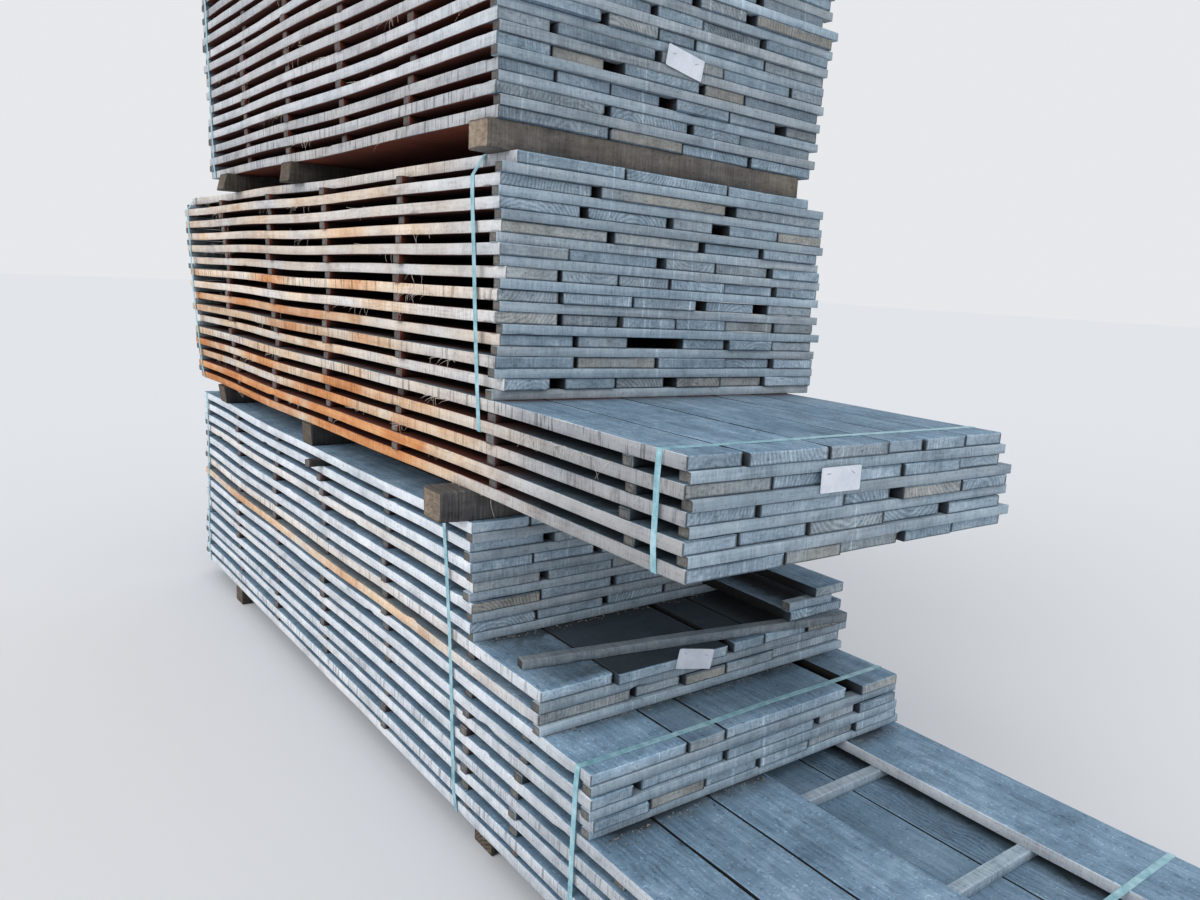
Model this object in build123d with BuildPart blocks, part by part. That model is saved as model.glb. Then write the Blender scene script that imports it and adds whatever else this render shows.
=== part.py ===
"""Column of three strapped packs of sawn boards, stacked on square bearers.

Every row of boards is held off the next by a row of stickers, so that air can pass. The rows of a
pack are flush at the far end (+Y) and on the left side (-X). They are ragged on the right side (+X),
and the longer rows lie lower and run out in steps at the near end (-Y).
"""
import os
from math import atan2, cos, sin

from build123d import *

os.makedirs("parts", exist_ok=True)

# sawn stock, in millimetres
board_thick = 27
sticker_thick = 22
sticker_wide = 32
bearer_wide = 90
ground_bearer_tall = 70
middle_bearer_tall = 70
top_bearer_tall = 60

# where the packs stand
flush_side = -520
far_end = 1950
middle_far_setback = 10
top_far_setback = 380

# board lengths, from the shortest rows of each pack to the longest
bottom_lengths = (2510, 2830, 3025, 3900)
middle_lengths = (2595, 3240)
top_length = 2200

# board widths across each row, from the flush side: a minus is a gap left open
seam = 1.5
top_rows = [
    [240, 165, -20, 205, 190, 185],
    [175, 210, 160, -35, 240, 180],
    [260, 150, 195, 170, -15, 215],
    [190, 225, -25, 165, 240, 160],
    [150, 180, 210, 205, -40, 190],
    [230, 175, -12, 240, 150, 185],
    [205, 160, 225, -30, 185, 200],
    [180, 240, 165, 150, -25, 230],
    [165, 180, 185, -13, 160, -28, 290],
    [255, 155, -12, 145, 205, 240],
    [255, -18, 150, 115, 240, 230],
    [135, -8, 280, -12, 205, 245, 125],
    [140, 145, -45, 235, -16, 140, 280],
    [145, 150, 150, -38, 180, 170, -38, 125],
    [290, -14, 240, -12, 165, 268],
    [295, 225, 230, 231],
]
middle_short_rows = [
    [-40, 295, 330, 305],
    [245, -15, 395, -35, 325],
    [215, -20, 240, -6, 135, -55, 180, 175],
    [290, -13, 270, -18, 200, 215],
    [185, 265, -18, 170, 190, -7, 190],
    [-20, 140, -7, 165, 160, 185, 180, 165],
    [165, 205, 205, -34, 175, -42, 180],
    [170, -9, 165, 170, 175, 180, 160],
    [-12, 200, -6, 150, -175, 150, 165, 160],
    [215, -9, 240, 235, 170, 160],
    [-16, 125, -40, 150, 155, -36, 155, 155, 190],
]
middle_long_rows = [
    [137, 217, 184, 120, 150, 145],
    [215, 190, -14, 170, 205, 165],
    [175, 240, 150, -20, 210, 180],
    [135, 185, 230, 200, -12, 205],
    [250, 165, 190, -16, 175, 195],
]
bottom_rows = [
    [
        [165, 175, 190, -16, 150, 165, 130],
        [212, -15, 170, 180, 200, 195],
        [178, 190, -12, 165, 210, 215],
        [196, -17, 205, 160, 230, 170],
        [200, 225, -10, 200, 215, 115],
        [190, 210, -15, 195, 150, 205],
    ],
    [
        [200, 345, -18, 115, 160, 165],
        [258, -13, 140, 137, 170, 270],
    ],
    [
        [262, 112, 416, -40, 145],
        [115, -20, 242, 296, -22, 136, 148],
        [152, 160, 165, 172, 168, 165],
    ],
    [
        [168, 162, 182, -290, 205],
        [235, 190, 280, 165, 130],
        [180, 215, -16, 240, 160, 185],
        [250, 155, 175, -20, 205, 190],
        [170, 200, 230, 185, -14, 190],
    ],
]
# the last boards of these rows of the bottom pack run out further than their row
outrunner_rows = {4: 322, 5: 325}

# nothing is laid quite even: these small distances are dealt out in turn
side_insets = (0, 5, 2, 9, 3, 0, 7)
end_insets = (0, 6, 2, 12, 9)
sticker_end_insets = (0, 8, 3, 11, 5, 1, 9)
sticker_side_insets = (3, 9, 1, 14, 6, 18, 0, 11, 8)

# stickers: rows shared by a whole pack, and distances of the extra ones from the end of a long step
bottom_sticker_count = 6
middle_sticker_count = 6
top_sticker_count = 6
bottom_overhang_stickers = ((0,), (0,), (0, 254), (0, 385, 770, 1155))
middle_overhang_stickers = ((0,), (0, 148))
# two of the bottom pack's stickers, by row and number, stand out past the flush side
drawn_out_stickers = {(0, 2): 46, (1, 2): 8}
loose_sticker_length = 932
loose_sticker_centre = -28
loose_sticker_inset = 61
loose_sticker_skew = -10.5
outrunner_sticker_length = 165
outrunner_sticker_inset = 18

# bearers: distance of each centre from the near end of a pack, left end and length
ground_bearers = ((300, -512, 1080), (1362, -483, 1073), (2390, -410, 960), (3413, -508, 1075))
middle_bearers = ((63, -590, 1100), (1131, -519, 1050), (2143, -528, 1080))
top_bearers = ((53, -534, 965), (1290, -530, 1040), (1910, -548, 1085))

# strapping, and cards with their centres across and down from the top of the pack
strap_wide = 16
strap_thick = 1
bottom_near_strap_insets = (135, 57)
middle_near_strap_insets = (143, 63)
middle_near_strap_rows = 13
middle_step_strap_inset = 86
step_strap_inset = 58
end_strap_inset = 200
far_strap_inset = 65
card_wide = 115
card_tall = 50
card_thick = 0.8
bottom_card_centre = (-80, 304)
middle_card_centre = (-129, 604)
top_card_centre = (-6, 553)
bottom_card_turn = 12
top_card_turn = 10

# worked out from the above
row_pitch = board_thick + sticker_thick
middle_rows = middle_short_rows + middle_long_rows
bottom_all_rows = sum(bottom_rows, [])
bottom_base = ground_bearer_tall
bottom_top = bottom_base + len(bottom_all_rows) * row_pitch - sticker_thick
middle_base = bottom_top + middle_bearer_tall
middle_top = middle_base + len(middle_rows) * row_pitch - sticker_thick
top_base = middle_top + top_bearer_tall
top_top = top_base + len(top_rows) * row_pitch - sticker_thick
middle_far_end = far_end - middle_far_setback
top_far_end = far_end - top_far_setback
bottom_near_ends = [far_end - length for length in bottom_lengths]
middle_near_ends = [middle_far_end - length for length in middle_lengths]
top_near_end = top_far_end - top_length


def row_base(pack_top, row):
    """Height of the underside of a row, counted down from 0 at the top of its pack."""
    return pack_top - board_thick - row * row_pitch


def in_turn(insets, number):
    """The next of a few uneven distances."""
    return insets[number % len(insets)]


def board_places(row, tally):
    """Left edge and width of each board in a row."""
    places = []
    left = flush_side + in_turn(side_insets, row)
    for entry in tally:
        if entry < 0:
            left -= entry
        else:
            places.append((left, entry))
            left += entry + seam
    return places


def end_inset(row, place):
    """How far the near end of a board lies behind the end of its step."""
    return in_turn(end_insets, 3 * row + 2 * place)


def board_outline(pack_top, row, left, width):
    with Locations((left, row_base(pack_top, row))):
        Rectangle(width, board_thick, align=(Align.MIN, Align.MIN))


def board_step(label, pack_top, first_row, rows, near_end, step_far_end, outrunners={}):
    """The rows of one length: their end outlines, drawn at the far end and pulled to the near one."""
    with BuildPart() as step:
        for inset in end_insets:
            outlines = [
                (row, left, width)
                for row, tally in enumerate(rows, first_row)
                for place, (left, width) in enumerate(board_places(row, tally))
                if end_inset(row, place) == inset
            ]
            if outlines:
                with BuildSketch(Plane.XZ.offset(-step_far_end)):
                    for row, left, width in outlines:
                        board_outline(pack_top, row, left, width)
                extrude(amount=step_far_end - near_end - inset)
        for row, run_out in outrunners.items():
            left, width = board_places(row, rows[row])[-1]
            with BuildSketch(Plane.XZ.offset(-near_end - max(end_insets))):
                board_outline(pack_top, row, left, width)
            extrude(amount=run_out + max(end_insets))
    save(step, label)


def save(piece, label):
    piece.part.label = label
    export_step(piece.part, f"parts/{label}.step")


def even_places(near_end, step_far_end, count):
    """Centres of the sticker rows that a pack's full height shares, flush with both ends."""
    first = near_end + sticker_wide / 2
    last = step_far_end - sticker_wide / 2
    return [first + (last - first) * index / (count - 1) for index in range(count)]


def row_end(row, tally):
    """Right edge of a row."""
    return sum(board_places(row, tally)[-1])


def pack_stickers(label, pack_top, steps, count, step_far_end, overhangs, near_ends, drawn_out={}):
    """A pack's stickers, as long as the rows they part: the shared ones, and more where a step runs out."""
    rows = sum(steps, [])
    corners = {}
    row = 0
    for step_rows, insets, near_end in zip(steps, overhangs, near_ends):
        for _ in step_rows[: len(rows) - 1 - row]:
            end_gap = in_turn(sticker_end_insets, row)
            shared = even_places(near_ends[0] + end_gap, step_far_end - end_gap, count)
            extra = [near_end + end_gap + place + sticker_wide / 2 for place in insets]
            extra = [place for place in extra if place < shared[0] - 2 * sticker_wide]
            length = max(row_end(row, rows[row]), row_end(row + 1, rows[row + 1])) - flush_side
            for number, place in enumerate(shared + extra):
                side_gap = in_turn(sticker_side_insets, 2 * row + number)
                if (row, number) in drawn_out:
                    side_gap = -drawn_out[row, number]
                corner = (flush_side + side_gap, place, row_base(pack_top, row) - sticker_thick)
                corners.setdefault(length, []).append(corner)
            row += 1
    with BuildPart() as stickers:
        for length, places in corners.items():
            with Locations(*places):
                Box(length, sticker_wide, sticker_thick, align=(Align.MIN, Align.CENTER, Align.MIN))
    save(stickers, label)


def bearer_row(label, base, tall, near_end, bearers):
    with BuildPart() as row:
        for inset, left, length in bearers:
            with Locations((left, near_end + inset, base)):
                Box(length, bearer_wide, tall, align=(Align.MIN, Align.CENTER, Align.MIN))
    save(row, label)


def strap(label, pack_top, first_row, rows, top_centre, bottom_centre):
    """A tight band round these rows: its inside is the taut outline of their ends, and it may lean."""
    lowest = row_base(pack_top, first_row + len(rows) - 1)
    highest = row_base(pack_top, first_row) + board_thick
    lean = atan2(top_centre - bottom_centre, highest - lowest)
    with BuildSketch() as bound:
        with BuildLine():
            for row, tally in enumerate(rows, first_row):
                base = row_base(pack_top, row) - lowest
                places = board_places(row, tally)
                for side in (places[0][0], row_end(row, tally)):
                    Line((side, base / cos(lean)), (side, (base + board_thick) / cos(lean)))
        make_hull()
    foot = (0, bottom_centre - strap_wide / 2, lowest)
    with BuildPart() as band:
        with BuildSketch(Plane(origin=foot, x_dir=(1, 0, 0), z_dir=(0, -cos(lean), sin(lean)))):
            add(bound.sketch)
            offset(amount=strap_thick)
            add(bound.sketch, mode=Mode.SUBTRACT)
        extrude(amount=strap_wide, dir=(0, 1, 0))
    save(band, label)


def card(label, near_end, pack_top, rows, centre, turn=0):
    """A blank card stapled flat to the foremost of the board ends behind it."""
    across, down = centre
    insets = [
        end_inset(row, place)
        for row, tally in enumerate(rows)
        for place, (left, width) in enumerate(board_places(row, tally))
        if abs(row * row_pitch + board_thick / 2 - down) < (board_thick + card_tall) / 2
        and abs(left + width / 2 - across) < (width + card_wide) / 2
    ]
    with BuildPart() as sheet:
        with BuildSketch(Plane.XZ.offset(-near_end - min(insets))):
            with Locations(Location((across, pack_top - down), -turn)):
                Rectangle(card_wide, card_tall)
        extrude(amount=card_thick)
    save(sheet, label)


# bottom pack
first_rows = [sum(len(rows) for rows in bottom_rows[:index]) for index in range(len(bottom_rows))]
for index, rows in enumerate(bottom_rows):
    board_step(
        f"bottom_step_{index + 1}_boards",
        bottom_top,
        first_rows[index],
        rows,
        bottom_near_ends[index],
        far_end,
        outrunners={} if index else outrunner_rows,
    )
pack_stickers(
    "bottom_stickers",
    bottom_top,
    bottom_rows,
    bottom_sticker_count,
    far_end,
    bottom_overhang_stickers,
    bottom_near_ends,
    drawn_out_stickers,
)

# middle pack
middle_step_row = len(middle_short_rows)
board_step("middle_short_boards", middle_top, 0, middle_short_rows, middle_near_ends[0], middle_far_end)
board_step(
    "middle_long_boards", middle_top, middle_step_row, middle_long_rows, middle_near_ends[1], middle_far_end
)
pack_stickers(
    "middle_stickers",
    middle_top,
    [middle_short_rows, middle_long_rows],
    middle_sticker_count,
    middle_far_end,
    middle_overhang_stickers,
    middle_near_ends,
)

# top pack
board_step("top_boards", top_top, 0, top_rows, top_near_end, top_far_end)
pack_stickers("top_stickers", top_top, [top_rows], top_sticker_count, top_far_end, ((),), (top_near_end,))

# the sticker left lying across the second deck, and the cut one between the two outrunners
last_short_row = first_rows[1] - 1
with BuildPart() as loose_sticker:
    with Locations(
        Location(
            (
                loose_sticker_centre,
                bottom_near_ends[1] + loose_sticker_inset,
                row_base(bottom_top, last_short_row) - sticker_thick / 2,
            ),
            (0, 0, loose_sticker_skew),
        )
    ):
        Box(loose_sticker_length, sticker_wide, sticker_thick)
save(loose_sticker, "loose_sticker")

upper_outrunner = last_short_row - 1
with BuildPart() as outrunner_sticker:
    with Locations(
        (
            board_places(last_short_row, bottom_all_rows[last_short_row])[-1][0],
            bottom_near_ends[0] - outrunner_rows[upper_outrunner] + outrunner_sticker_inset,
            row_base(bottom_top, upper_outrunner) - sticker_thick,
        )
    ):
        Box(outrunner_sticker_length, sticker_wide, sticker_thick, align=(Align.MIN, Align.CENTER, Align.MIN))
save(outrunner_sticker, "outrunner_sticker")

# bearers
bearer_row("ground_bearers", 0, ground_bearer_tall, bottom_near_ends[-1], ground_bearers)
bearer_row("middle_bearers", bottom_top, middle_bearer_tall, bottom_near_ends[0], middle_bearers)
bearer_row("top_bearers", middle_top, top_bearer_tall, top_near_end, top_bearers)

# straps
near_strap_rows = middle_rows[:middle_near_strap_rows]
for label, pack_top, first_row, rows, near_end, insets in (
    ("bottom_near_strap", bottom_top, 0, bottom_all_rows, bottom_near_ends[0], bottom_near_strap_insets),
    (
        "bottom_step_3_strap",
        bottom_top,
        first_rows[2],
        bottom_rows[2] + bottom_rows[3],
        bottom_near_ends[2],
        (step_strap_inset,) * 2,
    ),
    (
        "bottom_step_4_strap",
        bottom_top,
        first_rows[3],
        bottom_rows[3],
        bottom_near_ends[3],
        (end_strap_inset,) * 2,
    ),
    ("bottom_far_strap", bottom_top, 0, bottom_all_rows, far_end, (-far_strap_inset,) * 2),
    ("middle_near_strap", middle_top, 0, near_strap_rows, middle_near_ends[0], middle_near_strap_insets),
    (
        "middle_step_strap",
        middle_top,
        middle_step_row,
        middle_long_rows,
        middle_near_ends[1],
        (middle_step_strap_inset,) * 2,
    ),
    ("middle_far_strap", middle_top, 0, middle_rows, middle_far_end, (-far_strap_inset,) * 2),
    ("top_far_strap", top_top, 0, top_rows, top_far_end, (-far_strap_inset,) * 2),
):
    strap(label, pack_top, first_row, rows, *[near_end + inset for inset in insets])

# cards
card("bottom_card", bottom_near_ends[1], bottom_top, bottom_all_rows, bottom_card_centre, bottom_card_turn)
card("middle_card", middle_near_ends[1], middle_top, middle_rows, middle_card_centre)
card("top_card", top_near_end, top_top, top_rows, top_card_centre, top_card_turn)
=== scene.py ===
"""Weathered look of the strapped lumber packs: each sawn piece gets its own worn, slightly bowed mesh."""

import itertools
import math

import bpy
import numpy as np
from mathutils import Matrix, Vector


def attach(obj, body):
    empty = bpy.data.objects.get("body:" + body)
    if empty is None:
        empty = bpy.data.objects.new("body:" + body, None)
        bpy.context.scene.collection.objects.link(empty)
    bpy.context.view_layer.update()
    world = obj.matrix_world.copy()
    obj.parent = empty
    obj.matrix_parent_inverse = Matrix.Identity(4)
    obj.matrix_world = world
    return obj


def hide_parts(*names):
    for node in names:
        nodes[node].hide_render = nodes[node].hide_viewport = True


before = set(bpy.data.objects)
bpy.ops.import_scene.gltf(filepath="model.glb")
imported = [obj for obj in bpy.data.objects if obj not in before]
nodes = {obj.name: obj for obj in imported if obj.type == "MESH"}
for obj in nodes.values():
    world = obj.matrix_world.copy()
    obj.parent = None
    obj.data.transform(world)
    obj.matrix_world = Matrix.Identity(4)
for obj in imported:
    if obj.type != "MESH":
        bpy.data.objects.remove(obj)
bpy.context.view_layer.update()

# camera, in metres and degrees
LENS_MM = 28.09
SENSOR_MM = 36
FAR_CLIP = 200
EYE = (-1.553, -2.4383, 1.424)
YAW, PITCH, ROLL = 36.682, 10.571, -2.677

# kinds of face, in the order of each piece's materials
DECK, EDGE, END = 0, 1, 2


def new_object(name, data):
    made = bpy.data.objects.new(name, data)
    bpy.context.scene.collection.objects.link(made)
    return made


def place_camera():
    yaw, pitch, roll = (math.radians(a) for a in (YAW, PITCH, ROLL))
    forward = Vector((math.sin(yaw) * math.cos(pitch), math.cos(yaw) * math.cos(pitch), -math.sin(pitch)))
    level = Vector((math.cos(yaw), -math.sin(yaw), 0))
    down = forward.cross(level)
    right = level * math.cos(roll) + down * math.sin(roll)
    below = down * math.cos(roll) - level * math.sin(roll)
    data = bpy.data.cameras.new("camera")
    data.lens = LENS_MM
    data.sensor_width = SENSOR_MM
    data.clip_end = FAR_CLIP
    camera = new_object("camera", data)
    turn = Matrix((right, -below, -forward)).transposed()
    camera.matrix_world = Matrix.Translation(EYE) @ turn.to_4x4()
    bpy.context.scene.camera = camera


place_camera()


def rgb(red, green, blue):
    """Linear colour of an sRGB triple from 0 to 255."""
    values = [c / 255 for c in (red, green, blue)]
    return tuple(c / 12.92 if c <= 0.04045 else ((c + 0.055) / 1.055) ** 2.4 for c in values) + (1,)


class Tree:
    """The nodes of a material or of the world, with short calls for the few kinds used here."""

    def __init__(self, owner):
        owner.use_nodes = True
        self.owner = owner
        self.nodes = owner.node_tree.nodes
        self.links = owner.node_tree.links

    def put(self, socket, value):
        """Links a node's output or sets a plain value; None leaves the socket as it is."""
        if isinstance(value, bpy.types.NodeSocket):
            self.links.new(value, socket)
        elif value is not None:
            socket.default_value = value

    def add(self, kind, result, inputs, **settings):
        """Makes a node with these settings and inputs, and gives its output of that name or number."""
        node = self.nodes.new("ShaderNode" + kind)
        for name, value in settings.items():
            setattr(node, name, value)
        for name, value in inputs.items():
            self.put(node.inputs[name], value)
        return node.outputs[result]

    def math(self, operation, a, b=None, clamp=False):
        return self.add("Math", 0, {0: a, 1: b}, operation=operation, use_clamp=clamp)

    def times(self, a, b, clamp=False):
        return self.math("MULTIPLY", a, b, clamp)

    def stretched(self, where, factors):
        return self.add("VectorMath", "Vector", {0: where, 1: factors}, operation="MULTIPLY")

    def scaled(self, colour, factor):
        return self.add("VectorMath", "Vector", {0: colour, "Scale": factor}, operation="SCALE")

    def noise(self, where, scale, detail, rough=0.55, distortion=0.0):
        inputs = {"Vector": where, "Scale": scale, "Detail": detail}
        inputs.update(Roughness=rough, Distortion=distortion)
        return self.add("TexNoise", "Fac", inputs)

    def ramp(self, value, stops):
        node = self.nodes.new("ShaderNodeValToRGB")
        self.put(node.inputs[0], value)
        elements = node.color_ramp.elements
        while len(elements) < len(stops):
            elements.new(0.5)
        for element, (at, colour) in zip(elements, stops):
            element.position = at
            element.color = colour
        return node.outputs[0]

    def grade(self, value, low, high, out_low=0.0, out_high=1.0):
        return self.add("MapRange", 0, dict(enumerate((value, low, high, out_low, out_high))))

    def mix(self, share, a, b):
        return self.add("Mix", "Result", {"Factor": share, "A": a, "B": b}, data_type="RGBA")

    def bump(self, height, distance, strength, under=None):
        inputs = {"Strength": strength, "Distance": distance, "Height": height, "Normal": under}
        return self.add("Bump", 0, inputs)

    def carried(self, name):
        """Vector that the mesh carries under this name."""
        return self.add("Attribute", "Vector", {}, attribute_name=name)

    def parts(self, vector):
        split = self.nodes.new("ShaderNodeSeparateXYZ")
        self.links.new(vector, split.inputs[0])
        return split.outputs

    def place(self):
        return self.add("TexCoord", "Object", {})

    def draw(self, seed, factor):
        """A further number from 0 to 1 for each sawn piece, drawn from its seed."""
        return self.math("FRACT", self.times(seed, factor))

    def surface(self, colour, roughness, normal=None, **plain):
        """Wires the shader, sets its plain values and returns the finished material."""
        shader = self.nodes["Principled BSDF"]
        for name, value in {"Base Color": colour, "Roughness": roughness, "Normal": normal}.items():
            self.put(shader.inputs[name], value)
        for name, value in plain.items():
            shader.inputs[name.replace("_", " ")].default_value = value
        return self.owner

    def add_pattern(self, level, source, weight):
        """The level with a pattern of 0 to 1 added, which lifts it as much as it lowers it."""
        return self.math("ADD", self.grade(source, 0.0, 1.0, -weight / 2, weight / 2), level)


# how far a piece's seed shifts the patterns along X, Y and Z, and the factors of its further draws
SEED_SHIFT = (13.7, 29.3, 7.9)
RING_DRAW, MARK_DRAW, WARM_DRAW, GROOVE_DRAW = 7.7, 31.7, 17.3, 53.1

# how often the patterns change per metre
CLOUD_SCALE, BLOTCH_SCALE, DRIFT_SCALE, CRUMB_SCALE = 4.5, 17.0, 2.6, 150.0
DRIP_SCALE = (80.0, 1.5, 2.6)

# growth rings: spacing, weight of the places across, up and along, how often and how far they wander
RING_SPACING, RING_STRETCH, RING_WOBBLE_SCALE, RING_WOBBLE = 0.009, (1.0, 1.0, 0.04), 9.0, 0.02

# values between which each effect sets in
FLECK_BAND, CRUMB_BAND, DRIP_BAND, GROOVE_BAND = (0.3, 0.42), (0.63, 0.7), (0.68, 0.72), (0.37, 0.44)
DRIFT_BAND, FRESH_BAND, DEEP_BAND = (0.32, 0.68), (0.9, 1.8), (0.7, 0.95)

# strength of the effects
DRIFT_RANGE = (0.4, 1.6)
BROWNEST, GROOVE_SHADE, BLEACH_AND_HIGHLIGHT, RAGGED, COVER, GRIME_AND_SHADE_SHARE = 0.9, 0.5, 1.45, 1.4, 1.6, 0.85
WOOD_ROUGHNESS = (0.68, 0.9)
WOOD_SPECULAR = 0.3

# values between which most of a noise lies, and where the colours stand on it
MIDST = (0.3, 0.7)
STOPS_AT = (0.26, 0.5, 0.74)
# colours of the covered faces: slate and unweathered brown wood darkened by painted shade, and deeper painted
# shade far inside the rows
HIDDEN_SLATE, HIDDEN_BROWN = rgb(54, 66, 74), rgb(108, 44, 18)
DEEP_SLATE, DEEP_BROWN = rgb(40, 46, 50), rgb(38, 18, 12)
FRESH = ((140, 82, 44), (206, 136, 82), (236, 190, 140))
# grime with painted shade for the seams, ends and low arrises
GRIME_AND_SHADE = rgb(24, 22, 20)


def stops(colours):
    """Ramp stops of a dark, a middle and a light colour."""
    return [(at, rgb(*colour)) for at, colour in zip(STOPS_AT, colours)]


def wood(
    name,
    grain,
    saw,
    grey,
    warm,
    weights,
    tones,
    depths=(0.0005, 0.0008),
    stain=0.3,
    own_warmth=0.0,
    fresh=False,
    groove_pitch=0.0,
    crumbs=0.0,
    flecks=(130, 130, 130),
    runs=0.0,
):
    """Weathered sawn wood.

    grain, saw: how often the figure and the saw marks change per metre along X, Y and Z.
    grey, warm: dark, middle and light colour of the weathered and of the brown places.
    weights: how much figure, fibre, saw marks, clouds, blotches and growth rings each show.
    tones: darkest and lightest piece. depths: relief of the fibre and of the saw marks in metres.
    stain: how dark the flecks are. own_warmth: share of the pieces that are brown here whatever warmth
    their mesh carries. fresh: whether the warmest places look newly sawn. groove_pitch: spacing of the
    deeper saw grooves. crumbs: how bright the sawdust specks are. flecks: how often the dark flecks
    change per metre along X, Y and Z. runs: how bright the pale drips are that cross several rows.
    """
    figure_weight, fibre_weight, mark_weight, cloud_weight, blotch_weight, ring_weight = weights
    darkest, lightest = tones
    fibre_depth, mark_depth = depths
    tree = Tree(bpy.data.materials.new(name))
    seed, tone, warmth = tree.parts(tree.carried("sawn"))
    # rim: grime with painted shade above 0, bleach with a painted highlight below 0; hidden: how far a face
    # is covered, which brings its unweathered colour and painted shade; umber: how brown it is
    rim, hidden, umber = tree.parts(tree.carried("worn"))
    shift = tree.add("CombineXYZ", 0, {i: tree.times(seed, stretch) for i, stretch in enumerate(SEED_SHIFT)})
    where = tree.add("VectorMath", "Vector", {0: tree.place(), 1: shift}, operation="ADD")
    figure = tree.noise(tree.stretched(where, grain), 1.0, 5, 0.6, 0.3)
    fibre = tree.noise(tree.stretched(where, tuple(4.7 * g for g in grain)), 1.0, 3, 0.6)
    marks = tree.noise(tree.stretched(where, saw), 1.0, 3, 0.7)
    cloud = tree.noise(where, CLOUD_SCALE, 5, 0.6, 0.4)
    blotch = tree.noise(where, BLOTCH_SCALE, 4, 0.6, 0.8)
    speck = tree.noise(tree.stretched(where, flecks), 1.0, 2, 0.7)

    # growth rings round the pith, stronger on some pieces than on others
    from_pith = tree.stretched(tree.carried("pith"), RING_STRETCH)
    reach = tree.add("VectorMath", "Value", {0: from_pith}, operation="LENGTH")
    wobble = tree.grade(tree.noise(where, RING_WOBBLE_SCALE, 3), 0.0, 1.0, -RING_WOBBLE, RING_WOBBLE)
    reach = tree.math("ADD", reach, wobble)
    rings = tree.math("SINE", tree.times(reach, 2 * math.pi / RING_SPACING))
    rings = tree.times(rings, tree.grade(tree.draw(seed, RING_DRAW), 0.35, 1.0, 0.0, 1.0))

    # the figure of the wood, from dark at 0 to light at 1
    own_marks = tree.grade(tree.draw(seed, MARK_DRAW), 0.0, 1.0, 0.45, 1.3)
    centred_marks = tree.times(tree.math("SUBTRACT", marks, 0.5), own_marks)
    level = tree.add_pattern(0.5, figure, figure_weight)
    level = tree.add_pattern(level, fibre, fibre_weight)
    level = tree.math("ADD", tree.times(centred_marks, mark_weight), level)
    level = tree.add_pattern(level, cloud, cloud_weight)
    level = tree.add_pattern(level, blotch, blotch_weight)
    level = tree.math("ADD", tree.times(rings, ring_weight * 0.5), level)

    # grey, brown and newly sawn places
    if own_warmth:
        warmth = tree.grade(tree.draw(seed, WARM_DRAW), 1 - own_warmth, 1.0, 0.0, BROWNEST)
    drift = tree.grade(tree.noise(where, DRIFT_SCALE, 3, 0.5), *DRIFT_BAND, *DRIFT_RANGE)
    heat = tree.times(warmth, drift)
    brown_share = tree.times(heat, 1.0, clamp=True)
    colour = tree.mix(brown_share, tree.ramp(level, stops(grey)), tree.ramp(level, stops(warm)))
    if fresh:
        colour = tree.mix(tree.grade(heat, *FRESH_BAND), colour, tree.ramp(level, stops(FRESH)))

    # tone of the piece, flecks, sawdust, drips, grooves, and bleached arrises that also carry a painted
    # highlight
    brightness = tree.math("ADD", tree.times(tone, lightest - darkest), darkest)
    brightness = tree.times(brightness, tree.grade(speck, *FLECK_BAND, 1 - stain, 1.0))
    if crumbs:
        pale = tree.grade(tree.noise(where, CRUMB_SCALE, 1, 0.5), *CRUMB_BAND, 0.0, crumbs)
        brightness = tree.times(brightness, tree.math("ADD", 1.0, pale))
    if runs:
        drip = tree.noise(tree.stretched(tree.place(), DRIP_SCALE), 1.0, 1, 0.5)
        brightness = tree.times(brightness, tree.grade(drip, *DRIP_BAND, 1.0, 1 + runs))
    if groove_pitch:
        groove = tree.noise(tree.stretched(where, (1.5, 1 / groove_pitch, 9.0)), 1.0, 2, 0.6)
        own_grooves = tree.grade(tree.draw(seed, GROOVE_DRAW), 0.4, 0.95)
        cut = tree.times(tree.grade(groove, *GROOVE_BAND, 1.0, 0.0), own_grooves)
        brightness = tree.times(brightness, tree.grade(cut, 0.0, 1.0, 1.0, GROOVE_SHADE))
    # bleach with a painted highlight where the rim is below 0
    bleach_and_highlight = tree.grade(rim, -1.0, 0.0, BLEACH_AND_HIGHLIGHT, 1.0)
    colour = tree.scaled(colour, tree.times(brightness, bleach_and_highlight))

    # covered faces between the rows in their unweathered colour darkened by painted shade, with a ragged
    # border, and grime with painted shade on the rims
    inner = tree.scaled(tree.mix(umber, HIDDEN_SLATE, HIDDEN_BROWN), tree.grade(cloud, *MIDST, 0.7, 1.3))
    inner = tree.mix(tree.grade(hidden, *DEEP_BAND), inner, tree.mix(umber, DEEP_SLATE, DEEP_BROWN))
    ragged = tree.times(tree.grade(blotch, 0.25, 0.75, -RAGGED, RAGGED), hidden)
    ragged = tree.times(ragged, tree.math("SUBTRACT", 1.0, hidden))
    cover = tree.math("ADD", tree.times(hidden, COVER), ragged, clamp=True)
    colour = tree.mix(cover, colour, inner)
    colour = tree.mix(tree.grade(rim, 0.0, 1.0, 0.0, GRIME_AND_SHADE_SHARE), colour, GRIME_AND_SHADE)

    roughness = tree.grade(blotch, *MIDST, *WOOD_ROUGHNESS)
    relief = tree.bump(marks, mark_depth, 0.8, tree.bump(fibre, fibre_depth, 0.7))
    return tree.surface(colour, roughness, relief, Specular_IOR_Level=WOOD_SPECULAR)


# the blue in the grey colours of the deck, edge, end and sticker woods is partly a painted skylight cast over
# weathered silver-grey wood
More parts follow.
